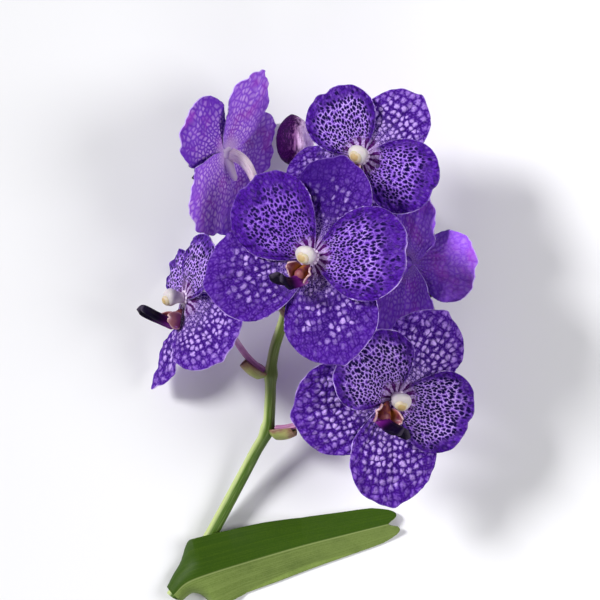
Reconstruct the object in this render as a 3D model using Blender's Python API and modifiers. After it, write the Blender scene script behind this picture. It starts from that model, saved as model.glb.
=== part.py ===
# A cut flower spray of a violet vanda orchid with one strap leaf, lying on its back.
# It has a zigzag green stem with small bracts, six open blooms on ribbed stalks and one bud.
# Metres, +Z up: the surface it lies on is Z = 0, the spray's tip points to +Y, and the origin
# is at the middle of the footprint. Sizes below are in millimetres and degrees.
import math

import bmesh
import bpy
import numpy as np
from mathutils import Matrix, Vector

MM = 0.001
FOOTPRINT_CENTRE = (-1.1, -5.7)   # of the routes and places below, brought to the origin at the end
GAP = 0.3                 # clearance between touching pieces
PRESSED_DEPTH = 0.4       # what reaches lower than this lies flat on the surface
CRUMB_VOLUME = 1e-9       # one cubic millimetre
TEPAL_THICKNESS = 0.9
LEAF_THICKNESS = 1.2

# Stem: its centre line from the cut foot to the tip, bending a little at each node
STEM_FOOT_RADIUS = 3.6
STEM_TIP_RADIUS = 2.2
STEM_ROUTE = [
    (-70.5, -139.5, 3.6), (-60.5, -124.0, 3.8), (-50.2, -106.8, 5.2), (-34.9, -78.3, 11.0),
    (-26.3, -61.9, 16.0), (-20.3, -50.5, 20.0), (-18.8, -36.9, 24.2), (-18.3, -21.5, 29.0),
    (-17.5, -14.0, 31.0), (-16.2, -7.4, 32.8), (-14.0, -0.3, 34.5), (-11.4, 7.8, 36.5),
    (-9.9, 18.0, 39.0), (-10.4, 36.3, 42.0), (-12.0, 53.5, 44.0), (-9.8, 67.6, 45.0),
    (-7.5, 78.5, 45.0),
]
STEM_SIDES = 10
NODE_SWELLING = 0.9
BRACT_LENGTH = 15.0
BRACT_WIDTH = 11.0
BRACT_DEPTH = 4.6

# Flower parts, in each flower's own frame: x right, y up to the top sepal, z out of its face
HUB_BACK = -3.2
HUB_FRONT = 1.2
HUB_BACK_RADIUS = 2.7
HUB_FRONT_RADIUS = 4.6
HUB_SIDES = 10
TEPAL_ROOT = 1.5          # distance of a tepal's root row from the flower's axis
SPUR = [(0, -2.5, -0.8, 2.2), (0, -6.5, -3.8, 2.2), (0, -10.0, -6.6, 1.7), (0, -12.0, -8.6, 0.8)]
COLUMN = [(0, 0.0, 1.5, 2.6), (0, 0.0, 2.6, 2.5), (0, -0.2, 5.6, 2.3), (0, -0.5, 7.6, 2.9),
          (0, -0.9, 9.2, 2.8), (0, -1.3, 10.6, 1.7), (0, -1.5, 11.1, 0.8)]
LIP_ROOT = [(0, -4.0, 1.5, 0.9), (0, -4.1, 2.2, 1.1), (0, -6.2, 3.6, 2.0), (0, -8.6, 4.8, 2.7),
            (0, -10.0, 6.6, 2.6), (0, -10.6, 8.0, 1.2)]
MIDLOBE_ROUTE = [(0, -9.0, 4.6), (0, -12.4, 9.0), (0, -14.2, 14.0), (0, -14.2, 19.0), (0, -12.6, 24.0)]
MIDLOBE_THICKNESS = 2.0
SIDE_LOBE_THICKNESS = 1.1
PEDICEL_RADIUS = 1.5      # at the stem
OVARY_RADIUS = 2.2        # where it has widened, just behind the flower
PEDICEL_SIDES = 8

BLADE_ROWS = 7
BLADE_COLUMNS = 6

# A tepal: angle in the flower's face, sizes, then how it lifts out of the face, cups and waves
SEPAL = dict(length=52, width=42, claw=8, widest=0.56, blunt=2.0, point=0.04, notch=0.0, lift=-3,
             curl=0, cup=-10, cup_tip=4, keel=0.0, twist=0, bend=0, ruffle=1.2, waves=2.0,
             phase=0.0)
PETAL = dict(length=48, width=44, claw=6, widest=0.55, blunt=2.2, point=0.0, notch=0.03, lift=13,
             curl=-14, cup=4, cup_tip=-8, keel=0.0, twist=0, bend=0, ruffle=1.2, waves=2.0,
             phase=0.5)

# Each bloom: where its hub stands, how it is turned, which point of the stem carries it, which
# way its pedicel leaves and how much nearer than its girth asks that starts, its lip's length
# beside the front bloom's, and its tepals. yaw turns its face towards +X, pitch towards +Y, and
# roll turns it in its own face.
BLOOMS = {
    "front": dict(
        hub=(2.6, 37.9, 87.0), yaw=-22, pitch=8, roll=-22,
        node=12, leaves=(0.1, -0.5, 0.85), seat=0.5, lip=1.0,
        top_sepal=dict(SEPAL, angle=97, length=49, width=44, lift=-2),
        left_petal=dict(PETAL, angle=157, length=49, width=43, lift=18, curl=-22),
        right_petal=dict(PETAL, angle=24, length=49, width=46, lift=10, curl=-14),
        left_sepal=dict(SEPAL, angle=217, length=54, width=47, lift=4),
        right_sepal=dict(SEPAL, angle=311, length=52, width=49, lift=-6),
    ),
    "top_right": dict(
        hub=(27.8, 88.6, 60.0), yaw=-14, pitch=6, roll=-35,
        node=15, leaves=(0.85, 0.1, 0.1), seat=0.1, lip=0.8,
        top_sepal=dict(SEPAL, angle=81, length=40, width=35, lift=-4),
        left_petal=dict(PETAL, angle=154, length=37, width=36),
        right_petal=dict(PETAL, angle=9, length=41, width=38),
        left_sepal=dict(SEPAL, angle=243, length=40, width=35, lift=5),
        right_sepal=dict(SEPAL, angle=315, length=42, width=24, lift=-38),
    ),
    "top_left": dict(
        hub=(-40.3, 91.7, 42.0), yaw=-122, pitch=15, roll=0,
        node=14, leaves=(-0.7, 0.6, 0.2), seat=1.2, lip=1.0,
        top_sepal=dict(SEPAL, angle=98, length=43, width=33, lift=-8),
        left_petal=dict(PETAL, angle=172, length=52, width=38, lift=14),
        right_petal=dict(PETAL, angle=21, length=42, width=37, lift=8),
        left_sepal=dict(SEPAL, angle=244, length=44, width=36, lift=0),
        right_sepal=dict(SEPAL, angle=298, length=43, width=43, lift=-10),
    ),
    "left": dict(
        hub=(-62.5, 18.0, 32.0), yaw=-65, pitch=5, roll=0,
        node=7, leaves=(-0.85, 0.5, 0.15), seat=0.5, lip=1.0,
        top_sepal=dict(SEPAL, angle=82, length=42, width=34, lift=-25, curl=-30),
        left_petal=dict(PETAL, angle=145, length=37, width=24, lift=-3, curl=-6, twist=8),
        right_petal=dict(PETAL, angle=51, length=38, width=31, lift=4, twist=14),
        left_sepal=dict(SEPAL, angle=240, length=53, width=20, lift=-12, curl=30),
        right_sepal=dict(SEPAL, angle=317, length=43, width=43, lift=-14, twist=-35),
    ),
    "low_right": dict(
        hub=(44.9, -31.6, 58.0), yaw=18, pitch=-12, roll=-22,
        node=5, leaves=(0.9, 0.1, 0.4), seat=0.3, lip=1.0,
        top_sepal=dict(SEPAL, angle=85, length=47, width=42, lift=3),
        left_petal=dict(PETAL, angle=157, length=42, width=45, keel=0.3, lift=17),
        right_petal=dict(PETAL, angle=4, length=40, width=43, lift=15),
        left_sepal=dict(SEPAL, angle=214, length=51, width=50, lift=-7),
        right_sepal=dict(SEPAL, angle=290, length=54, width=46, bend=10, lift=2),
    ),
    "back_right": dict(
        hub=(51.7, 36.3, 40.0), yaw=135, pitch=0, roll=20,
        node=13, leaves=(0.95, 0.1, 0.3), seat=0.0, lip=1.0,
        top_sepal=dict(SEPAL, angle=103, length=42, width=28, lift=-18),
        left_petal=dict(PETAL, angle=165, length=44, width=36, lift=8),
        right_petal=dict(PETAL, angle=18, length=46, width=38, lift=30),
        left_sepal=dict(SEPAL, angle=247, length=46, width=38, lift=-7),
        right_sepal=dict(SEPAL, angle=305, length=46, width=36, lift=8),
    ),
}
TEPALS = ("top_sepal", "left_sepal", "right_sepal", "left_petal", "right_petal")

# Bud: base, tip, greatest radius; it hangs on a short pedicel of its own
BUD_BASE = (-4.5, 85.5, 41.5)
BUD_TIP = (-7.5, 111.5, 42.0)
BUD_RADIUS = 9.4

# Leaf: its keel from the base, hooded over the stem's foot, to the two-lobed tip
LEAF_KEEL = [(-69.5, -138.0, 9.4), (-62.5, -131.5, 10.4), (-50.0, -126.5, 10.8), (-30.0, -120.5, 9.0),
             (-3.3, -113.0, 7.0), (20.4, -107.0, 6.2), (49.0, -100.0, 5.2)]
LEAF_ROWS = 18
LEAF_COLUMNS = 8

COLOURS = {
    "violet": ((0.17, 0.06, 0.62), 0.45),
    "lip": ((0.05, 0.008, 0.12), 0.35),
    "column": ((0.85, 0.80, 0.72), 0.4),
    "pedicel": ((0.62, 0.42, 0.60), 0.45),
    "stem": ((0.24, 0.40, 0.09), 0.45),
    "leaf": ((0.10, 0.26, 0.03), 0.4),
    "bud": ((0.25, 0.06, 0.32), 0.45),
}


def clear_scene():
    for item in list(bpy.data.objects):
        bpy.data.objects.remove(item)


def material(name):
    colour, roughness = COLOURS[name]
    made = bpy.data.materials.get(name) or bpy.data.materials.new(name)
    made.use_nodes = True
    shader = made.node_tree.nodes["Principled BSDF"]
    shader.inputs["Base Color"].default_value = (*colour, 1.0)
    shader.inputs["Roughness"].default_value = roughness
    made.diffuse_color = (*colour, 1.0)
    return made


def add_object(name, mesh, collection, slot):
    made = bpy.data.objects.new(name, mesh)
    collection.objects.link(made)
    made.data.materials.clear()
    made.data.materials.append(material(slot))
    return made


def smooth_curve(points, count):
    """Points at equal steps along a Catmull-Rom curve through the given ones."""
    p = np.array(points, float)
    p = np.vstack([2 * p[0] - p[1], p, 2 * p[-1] - p[-2]])
    fine = []
    for i in range(1, len(p) - 2):
        for t in np.linspace(0, 1, 12, endpoint=False):
            a, b, c, d = p[i - 1], p[i], p[i + 1], p[i + 2]
            fine.append(0.5 * (2 * b + (c - a) * t + (2 * a - 5 * b + 4 * c - d) * t ** 2
                               + (3 * b - a - 3 * c + d) * t ** 3))
    fine.append(p[-2])
    fine = np.array(fine)
    run = np.concatenate([[0], np.cumsum(np.linalg.norm(np.diff(fine, axis=0), axis=1))])
    steps = np.linspace(0, run[-1], count)
    return np.stack([np.interp(steps, run, fine[:, k]) for k in range(3)], axis=1)


def outline(spec, across, along):
    """Flat place on the blade, in mm: across and along are 0 to 1 over the blade's grid."""
    s = math.sin(math.pi * (across - 0.5))
    widest = spec["widest"] * spec["length"]
    end = widest + (spec["length"] - widest) * (1 - abs(s) ** spec["blunt"]) ** (1 / spec["blunt"])
    end += spec["length"] * spec["point"] * math.exp(-(s / 0.16) ** 2)
    end -= spec["length"] * spec["notch"] * math.exp(-(s / 0.14) ** 2)
    y = along * end
    rise = min(y / widest, 1.0)
    half = spec["claw"] / 2 + (spec["width"] - spec["claw"]) / 2 * math.sin(math.pi / 2 * rise) ** 0.9
    return s * half, y


def bend_blade(spec, x, y):
    """Place of a flat point of a tepal in the flower's frame, in mm."""
    steps = 24
    length = spec["length"]
    position = np.zeros(3)
    step = y / steps
    for i in range(steps):
        f = (i + 0.5) * step / length
        lift = math.radians(spec["lift"] + spec["curl"] * f)
        turn = math.radians(spec["angle"] + spec["bend"] * f)
        position += step * np.array([math.cos(lift) * math.cos(turn),
                                     math.cos(lift) * math.sin(turn), math.sin(lift)])
    f = y / length
    lift = math.radians(spec["lift"] + spec["curl"] * f)
    turn = math.radians(spec["angle"] + spec["bend"] * f)
    tangent = np.array([math.cos(lift) * math.cos(turn), math.cos(lift) * math.sin(turn),
                        math.sin(lift)])
    side = np.array([-math.sin(turn), math.cos(turn), 0.0])
    face = np.cross(tangent, side)
    twist = math.radians(spec["twist"]) * min(f / 0.35, 1.0)
    across = side * math.cos(twist) + face * math.sin(twist)
    face = face * math.cos(twist) - side * math.sin(twist)
    reach = spec["width"] / 2
    cup = math.radians(spec["cup"] + (spec["cup_tip"] - spec["cup"]) * f) * x / reach
    if abs(cup) > 1e-4:
        radius = x / cup
        flat, rise = radius * math.sin(cup), radius * (1 - math.cos(cup))
    else:
        flat, rise = x, 0.0
    edge = abs(x) / reach
    rise += spec["keel"] * abs(x)
    rise += (spec["ruffle"] * edge ** 2.5
             * math.sin(2 * math.pi * (spec["waves"] * f + spec["phase"] + (0.3 if x > 0 else 0.0))))
    root = TEPAL_ROOT * np.array([math.cos(turn), math.sin(turn), 0.0])
    return root + position + across * flat + face * rise


def facing(bloom):
    """Rotation from the flower's own frame to the spray's."""
    return (Matrix.Rotation(math.radians(bloom["yaw"]), 4, "Y")
            @ Matrix.Rotation(math.radians(-bloom["pitch"]), 4, "X")
            @ Matrix.Rotation(math.radians(bloom["roll"]), 4, "Z"))


def placing(bloom):
    return Matrix.Translation(Vector(bloom["hub"]) * MM) @ facing(bloom)


def grid_sheet(name, columns, rows, place, thickness, collection, slot):
    """A closed blade: a grid moved point by point, split into triangles and given a wall."""
    work = bmesh.new()
    bmesh.ops.create_grid(work, x_segments=columns, y_segments=rows, size=0.5)
    for vertex in work.verts:
        vertex.co = place(vertex.co.x + 0.5, vertex.co.y + 0.5)
    bmesh.ops.triangulate(work, faces=work.faces[:])
    mesh = bpy.data.meshes.new(name)
    work.to_mesh(mesh)
    work.free()
    made = add_object(name, mesh, collection, slot)
    wall = made.modifiers.new("wall", "SOLIDIFY")
    wall.thickness = thickness * MM
    wall.offset = 0.0
    return made


def lay_down(point, thickness):
    """Presses a point that would lie under the surface onto it."""
    point.z = max(point.z, thickness * MM / 2)
    return point


def tepal(bloom, key, collection):
    spec = bloom[key]
    matrix = placing(bloom)

    def place(across, along):
        x, y = outline(spec, across, along)
        return lay_down(matrix @ (Vector(bend_blade(spec, x, y)) * MM), TEPAL_THICKNESS)

    return grid_sheet(key, BLADE_COLUMNS, BLADE_ROWS, place, TEPAL_THICKNESS, collection, "violet")


def drop_sealed_shells(mesh):
    """Fills the little voids that blades enclose where they meet, and drops crumbs of a join."""
    work = bmesh.new()
    work.from_mesh(mesh)
    left = set(work.faces)
    while left:
        shell, edge = set(), {left.pop()}
        while edge:
            face = edge.pop()
            shell.add(face)
            for side in face.edges:
                edge.update(other for other in side.link_faces if other in left)
            left -= edge
        volume = 0.0
        for face in shell:
            for i in range(1, len(face.verts) - 1):
                a, b, c = face.verts[0].co, face.verts[i].co, face.verts[i + 1].co
                volume += a.dot(b.cross(c)) / 6
        if volume < CRUMB_VOLUME:
            bmesh.ops.delete(work, geom=list(shell), context="FACES")
    work.to_mesh(mesh)
    work.free()


def union(name, base, pieces, solver="EXACT"):
    """Joins the pieces' collection to the base and keeps one mesh."""
    join = base.modifiers.new("join", "BOOLEAN")
    join.operation = "UNION"
    join.operand_type = "COLLECTION"
    join.collection = pieces
    join.solver = solver
    bpy.context.view_layer.update()
    graph = bpy.context.evaluated_depsgraph_get()
    mesh = bpy.data.meshes.new_from_object(base.evaluated_get(graph))
    mesh.name = name
    drop_sealed_shells(mesh)
    made = bpy.data.objects.new(name, mesh)
    base.users_collection[0].objects.link(made)
    for item in list(pieces.objects):
        bpy.data.objects.remove(item)
    bpy.data.objects.remove(base)
    made.name = name
    return made


def tube(name, route, sides, matrix, collection, slot):
    """A closed tube along a route of (x, y, z, radius) points, all in mm."""
    curve = bpy.data.curves.new(name, "CURVE")
    curve.dimensions = "3D"
    curve.fill_mode = "FULL"
    curve.bevel_depth = MM
    curve.bevel_resolution = (sides - 4) // 2
    curve.use_fill_caps = True
    line = curve.splines.new("POLY")
    line.points.add(len(route) - 1)
    for point, (x, y, z, radius) in zip(line.points, route):
        place = matrix @ (Vector((x, y, z)) * MM)
        point.co = (*place, 1.0)
        point.radius = radius
    source = bpy.data.objects.new(name, curve)
    collection.objects.link(source)
    bpy.context.view_layer.update()
    graph = bpy.context.evaluated_depsgraph_get()
    mesh = bpy.data.meshes.new_from_object(source.evaluated_get(graph))
    bpy.data.objects.remove(source)
    work = bmesh.new()
    work.from_mesh(mesh)
    bmesh.ops.remove_doubles(work, verts=work.verts, dist=1e-6)
    bmesh.ops.recalc_face_normals(work, faces=work.faces)
    work.to_mesh(mesh)
    work.free()
    mesh.name = name
    return add_object(name, mesh, collection, slot)


def with_radii(points, radii):
    """Adds to each point of a route the radius at its share of the way along."""
    shares = np.linspace(0, 1, len(points))
    places, values = zip(*radii)
    return [(*point, np.interp(share, places, values)) for point, share in zip(points, shares)]


def bloom_tepals(name, bloom, parts, helpers):
    hub_route = [(0, 0, HUB_BACK, HUB_BACK_RADIUS), (0, 0, -1.0, 3.4), (0, 0, HUB_FRONT, HUB_FRONT_RADIUS)]
    hub = tube("hub", hub_route, HUB_SIDES, placing(bloom), parts, "violet")
    for key in TEPALS:
        tepal(bloom, key, helpers)
    tube("spur", SPUR, 6, placing(bloom), helpers, "violet")
    return union(f"{name}_bloom_tepals", hub, helpers)


def bloom_column(name, bloom, parts):
    return tube(f"{name}_bloom_column", COLUMN, 8, placing(bloom), parts, "column")


def midlobe_point(length):
    """The lip's front lobe: a tongue with a waist, wider and two-lobed at its tip."""
    route = smooth_curve(MIDLOBE_ROUTE, 25)

    def place(across, along):
        reach = 24 * length * along * (1 - 0.10 * math.exp(-((across - 0.5) / 0.12) ** 2))
        middle = np.array([np.interp(reach, range(25), route[:, k]) for k in range(3)])
        ahead = route[min(int(reach) + 1, 24)] - route[max(int(reach) - 1, 0)]
        up = np.array([0.0, ahead[2], -ahead[1]]) / math.hypot(ahead[1], ahead[2])
        half = np.interp(along, [0, 0.35, 0.75, 0.93, 1.0], [3.4, 2.8, 4.8, 4.2, 2.6])
        side = 2 * across - 1
        return middle + np.array([1.0, 0.0, 0.0]) * half * side - up * 2.0 * side ** 2
    return place


def side_lobe_point(side):
    """An upright ear beside the column."""
    def place(across, along):
        middle = -6.4 + (across - 0.5) * 7.0 * math.sin(math.pi / 2 * (1 - 0.75 * along ** 2))
        return np.array([side * (2.3 + 2.6 * along ** 0.8), middle, 3.4 + 6.4 * along])
    return place


def bloom_lip(name, bloom, parts, helpers):
    matrix = placing(bloom)

    def placed(shape):
        return lambda across, along: matrix @ (Vector(shape(across, along)) * MM)

    root = tube("lip_root", LIP_ROOT, 6, matrix, parts, "lip")
    grid_sheet("midlobe", 4, 6, placed(midlobe_point(bloom["lip"])), MIDLOBE_THICKNESS, helpers, "lip")
    for side in (-1, 1):
        grid_sheet("side_lobe", 3, 3, placed(side_lobe_point(side)), SIDE_LOBE_THICKNESS, helpers, "lip")
    return union(f"{name}_bloom_lip", root, helpers)


def bloom_pedicel(name, bloom, parts):
    """The stalk from the stem, 0.3 mm clear of it, to 0.3 mm behind the hub's flat back."""
    matrix = placing(bloom)
    end = np.array(matrix @ Vector((0, 0, (HUB_BACK - GAP) * MM))) / MM
    back = -np.array(matrix.to_3x3() @ Vector((0, 0, 1)))
    node = np.array(STEM_ROUTE[bloom["node"]])
    leaves = np.array(Vector(bloom["leaves"]).normalized())
    along = np.array(STEM_ROUTE[bloom["node"]]) - np.array(STEM_ROUTE[bloom["node"] - 1])
    slant = abs(np.dot(leaves, along)) / np.linalg.norm(along)
    radius = stem_radius(bloom["node"] / (len(STEM_ROUTE) - 1)) + NODE_SWELLING
    reach = radius + GAP + 0.3 - bloom["seat"] + PEDICEL_RADIUS * slant
    start = node + leaves * reach / math.sqrt(1 - slant ** 2)
    reach = np.linalg.norm(end - start) * 0.4
    bezier = [start, start + leaves * reach, end + back * reach, end]
    a, b, c, d = bezier
    route = []
    for t in np.linspace(0, 1, 12):
        route.append((1 - t) ** 3 * a + 3 * t * (1 - t) ** 2 * b + 3 * t * t * (1 - t) * c + t ** 3 * d)
    route[-2] = end + back * 2.0
    radii = [(0, PEDICEL_RADIUS), (0.5, PEDICEL_RADIUS), (0.8, OVARY_RADIUS), (1, OVARY_RADIUS)]
    return tube(f"{name}_bloom_pedicel", with_radii(route, radii), PEDICEL_SIDES, Matrix(), parts,
                "pedicel")


def press_flat(piece):
    """Keeps a piece's finished mesh, with its lowest points pressed onto the surface."""
    bpy.context.view_layer.update()
    graph = bpy.context.evaluated_depsgraph_get()
    mesh = bpy.data.meshes.new_from_object(piece.evaluated_get(graph))
    piece.modifiers.clear()
    piece.data = mesh
    for vertex in mesh.vertices:
        if vertex.co.z < PRESSED_DEPTH * MM:
            vertex.co.z = 0.0
    return piece


def stem_radius(share):
    return STEM_FOOT_RADIUS + (STEM_TIP_RADIUS - STEM_FOOT_RADIUS) * share


def stem_tube(parts):
    """The flower stem, swollen a little where each pedicel leaves it."""
    count = 3 * (len(STEM_ROUTE) - 1) + 1
    points = smooth_curve(STEM_ROUTE, count)
    points[:, 2] = np.maximum(points[:, 2], STEM_FOOT_RADIUS)
    route = []
    for i, point in enumerate(points):
        radius = stem_radius(i / (count - 1))
        for node in stem_nodes():
            distance = np.linalg.norm(point - np.array(STEM_ROUTE[node]))
            radius += NODE_SWELLING * math.exp(-(distance / 3.5) ** 2)
        route.append((*point, radius))
    route[-1] = (*points[-1], 1.2)
    return press_flat(tube("stem", route, STEM_SIDES, Matrix(), parts, "stem"))


def stem_nodes():
    return sorted({bloom["node"] for bloom in BLOOMS.values()})


def bract(bloom, helpers):
    """A small pointed scale that sits below a pedicel and hugs it."""
    node = bloom["node"]
    foot = np.array(STEM_ROUTE[node])
    leaves = Vector(bloom["leaves"]).normalized()
    down = Vector(np.array(STEM_ROUTE[node - 1]) - foot).normalized()
    across_way = leaves.cross(down).normalized()
    below = across_way.cross(leaves).normalized()

    def place(across, along):
        widened = min(0.35 + 2.5 * along, 1.0)
        width = widened * BRACT_WIDTH / 2 * math.sin(math.pi * (0.28 + 0.56 * along))
        depth = widened * BRACT_DEPTH * math.sin(math.pi * (0.28 + 0.5 * along))
        side = (2 * across - 1) * 1.35
        out = leaves * (1.0 + BRACT_LENGTH * along)
        return (Vector(foot) + out + across_way * width * math.sin(side)
                + below * (0.8 + depth * math.cos(side))) * MM

    return grid_sheet("bract", 3, 5, place, 1.0, helpers, "stem")


def stem(parts, helpers):
    base = stem_tube(parts)
    for bloom in BLOOMS.values():
        bract(bloom, helpers)
    return union("stem", base, helpers)


def leaf_point(across, along):
    """The strap leaf: keel up, both halves sloping down to the surface, two-lobed at the tip."""
    s = 2 * across - 1
    share = along * (1 - 0.045 * math.exp(-(s / 0.25) ** 2) - 0.10 * abs(s) ** 5)
    keel = smooth_curve(LEAF_KEEL, 41)
    place = np.array([np.interp(share * 40, range(41), keel[:, k]) for k in range(3)])
    step = min(int(share * 40), 39)
    ahead = (keel[step + 1] - keel[step]) * (1, 1, 0)
    side = np.array([-ahead[1], ahead[0], 0.0]) / np.linalg.norm(ahead)
    half = np.interp(share, [0, 0.05, 0.09, 0.14, 0.45, 0.85, 1.0],
                     [9.5, 16.0, 20.0, 20.5, 17.5, 12.0, 9.5])
    drop = math.radians(np.interp(share, [0, 0.06, 0.3, 0.6, 1.0],
                                  [0, 0, 2, 24, 30] if s > 0 else [0, 12, 30, 30, 30]))
    hood = np.interp(share, [0, 0.07, 0.16], [0.2, 0.12, 0.0])
    reach = abs(s) * half
    if hood > 1e-3:
        flat = (math.sin(drop + hood * reach) - math.sin(drop)) / hood
        fall = (math.cos(drop) - math.cos(drop + hood * reach)) / hood
    else:
        flat, fall = reach * math.cos(drop), reach * math.sin(drop)
    wave = 0.5 * s ** 2 * math.sin(9 * along)
    point = Vector(place + side * math.copysign(flat, s) - np.array([0, 0, fall - wave]))
    return lay_down(point * MM, LEAF_THICKNESS)


def leaf(parts):
    blade = grid_sheet("leaf", LEAF_COLUMNS, LEAF_ROWS, leaf_point, LEAF_THICKNESS, parts, "leaf")
    return press_flat(blade)


def bud(parts):
    """The unopened bud at the tip, an egg drawn out to a blunt point, and its short pedicel."""
    base, tip = np.array(BUD_BASE), np.array(BUD_TIP)
    radii = [(0, 0.25), (0.06, 0.55), (0.16, 0.8), (0.32, 0.98), (0.46, 1.0), (0.62, 0.9), (0.78, 0.68),
             (0.9, 0.42), (0.97, 0.2), (1, 0.1)]
    route = [(*(base + (tip - base) * share), BUD_RADIUS * size) for share, size in radii]
    tube("bud", route, 10, Matrix(), parts, "bud")
    start = np.array(STEM_ROUTE[-1])
    ahead = (start - np.array(STEM_ROUTE[-2])) / np.linalg.norm(start - np.array(STEM_ROUTE[-2]))
    axis = (tip - base) / np.linalg.norm(tip - base)
    points = smooth_curve([start + ahead * (GAP + 0.8), base - axis * 2.6, base - axis * (GAP + 0.2)], 5)
    radii = [(0, 1.2), (1, 1.9)]
    tube("bud_pedicel", with_radii(points, radii), PEDICEL_SIDES, Matrix(), parts, "pedicel")


def main():
    clear_scene()
    parts = bpy.data.collections.new("vanda_orchid")
    helpers = bpy.data.collections.new("joined_pieces")
    bpy.context.scene.collection.children.link(parts)
    bpy.context.scene.collection.children.link(helpers)
    for name, bloom in BLOOMS.items():
        bloom_tepals(name, bloom, parts, helpers)
        bloom_column(name, bloom, parts)
        bloom_lip(name, bloom, parts, helpers)
        bloom_pedicel(name, bloom, parts)
    stem(parts, helpers)
    leaf(parts)
    bud(parts)
    bpy.data.collections.remove(helpers)
    x, y = FOOTPRINT_CENTRE
    for piece in parts.objects:
        piece.data.transform(Matrix.Translation((-x * MM, -y * MM, 0)))


main()
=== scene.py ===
from math import atan, copysign, cos, exp, hypot, pi, radians, sin, sqrt
from types import SimpleNamespace

import bmesh
import bpy
import numpy as np
from mathutils import Matrix, Vector


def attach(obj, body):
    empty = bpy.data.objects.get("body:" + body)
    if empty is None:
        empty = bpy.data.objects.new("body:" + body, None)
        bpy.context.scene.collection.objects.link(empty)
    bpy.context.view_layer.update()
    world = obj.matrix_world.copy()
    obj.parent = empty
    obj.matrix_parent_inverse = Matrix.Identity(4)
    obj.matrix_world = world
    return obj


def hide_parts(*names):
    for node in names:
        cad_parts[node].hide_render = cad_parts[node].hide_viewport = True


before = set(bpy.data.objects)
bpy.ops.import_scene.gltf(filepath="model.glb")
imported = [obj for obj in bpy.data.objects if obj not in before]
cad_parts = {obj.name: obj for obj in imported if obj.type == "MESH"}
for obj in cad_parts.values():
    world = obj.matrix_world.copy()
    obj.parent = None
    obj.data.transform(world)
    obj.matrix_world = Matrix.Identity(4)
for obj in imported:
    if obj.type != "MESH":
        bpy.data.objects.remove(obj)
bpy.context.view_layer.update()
mm = 0.001
print("frame loaded:", len(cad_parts), "nodes")


viewFrom = {"middle": (-2.15, 22.7), "height": 1060.0, "halfWidth": 150.0, "distance": 1000.0}


def addObject(name, data):
    piece = bpy.data.objects.new(name, data)
    bpy.context.scene.collection.objects.link(piece)
    return piece


def addCamera(spec):
    lens = bpy.data.cameras.new("photoCamera")
    lens.angle = 2 * atan(spec["halfWidth"] / spec["distance"])
    lens.clip_start = 0.05
    lens.clip_end = 20.0
    camera = addObject("photoCamera", lens)
    camera.location = Vector((*spec["middle"], spec["height"])) * mm
    bpy.context.scene.camera = camera


addCamera(viewFrom)
bpy.context.scene.view_settings.view_transform = "Standard"
bpy.context.scene.view_settings.look = "None"


class Wire:
    # one output of a node tree, which can be added, multiplied and so on into Math nodes
    def __init__(self, tree, socket):
        self.tree = tree
        self.socket = socket

    def calc(self, operation, *others):
        return addNode(self.tree, "ShaderNodeMath", dict(enumerate((self,) + others)), operation=operation)

    def __rsub__(self, other):
        return self.calc("MULTIPLY_ADD", -1.0, other)

    def __neg__(self):
        return self.calc("MULTIPLY", -1.0)

    def sway(self, amount):
        # a value from 0 to 1, moved to swing about zero
        return (self - 0.5) * amount

    def bell(self, middle, spread):
        # 1 at the middle, falling off on both sides
        off = (self - middle) / spread
        return (-(off * off)).exp()

    def ramp(self, start, end, low=0.0, high=1.0):
        return addNode(self.tree, "ShaderNodeMapRange", dict(enumerate((self, start, end, low, high))),
                       interpolation_type="SMOOTHSTEP")

    def fall(self, start, end):
        return self.ramp(start, end, 1.0, 0.0)


def mathStep(operation):
    return lambda wire, *others: wire.calc(operation, *others)


wireMath = {"__add__": "ADD", "__radd__": "ADD", "__sub__": "SUBTRACT", "__mul__": "MULTIPLY",
            "__rmul__": "MULTIPLY", "__truediv__": "DIVIDE", "__pow__": "POWER", "sin": "SINE",
            "cos": "COSINE", "exp": "EXPONENT", "abs": "ABSOLUTE", "low": "MINIMUM", "high": "MAXIMUM"}
for method, operation in wireMath.items():
    setattr(Wire, method, mathStep(operation))


def plug(place, value):
    if isinstance(value, Wire):
        value.tree.links.new(value.socket, place)
    else:
        place.default_value = value


def addNode(tree, kind, wires=None, out=0, **settings):
    node = tree.nodes.new(kind)
    for name, value in settings.items():
        setattr(node, name, value)
    for name, value in (wires or {}).items():
        plug(node.inputs[name], value)
    return Wire(tree, node.outputs[out])


def point(x, y, z=0.0):
    return addNode(x.tree, "ShaderNodeCombineXYZ", {"X": x, "Y": y, "Z": z})


def split(vector):
    node = addNode(vector.tree, "ShaderNodeSeparateXYZ", {0: vector}).socket.node
    return [Wire(vector.tree, output) for output in node.outputs]


def noise(place, scale=1.0, detail=2.0):
    return addNode(place.tree, "ShaderNodeTexNoise", {"Vector": place, "Scale": scale, "Detail": detail})


def grain(x, y, seed, sizeX, sizeY, detail=2.0):
    # a noise with lumps of about these sizes in mm
    return noise(point(x / sizeX, y / sizeY, seed), 1.0, detail)


def newTree(name, inputs, takesMesh):
    # a Geometry Nodes tree with named inputs, numbers unless they are the finish
    tree = bpy.data.node_groups.new(name, "GeometryNodeTree")
    tree.interface.new_socket("Geometry", in_out="OUTPUT", socket_type="NodeSocketGeometry")
    if takesMesh:
        tree.interface.new_socket("Geometry", in_out="INPUT", socket_type="NodeSocketGeometry")
    for key, value in inputs.items():
        kind = "NodeSocketInt" if isinstance(value, int) else "NodeSocketFloat"
        tree.interface.new_socket(key, in_out="INPUT", socket_type=kind).default_value = value
    tree.interface.new_socket("finish", in_out="INPUT", socket_type="NodeSocketMaterial")
    outputs = [output for output in tree.nodes.new("NodeGroupInput").outputs if output.name]
    return tree, SimpleNamespace(**{output.name: Wire(tree, output) for output in outputs})


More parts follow.
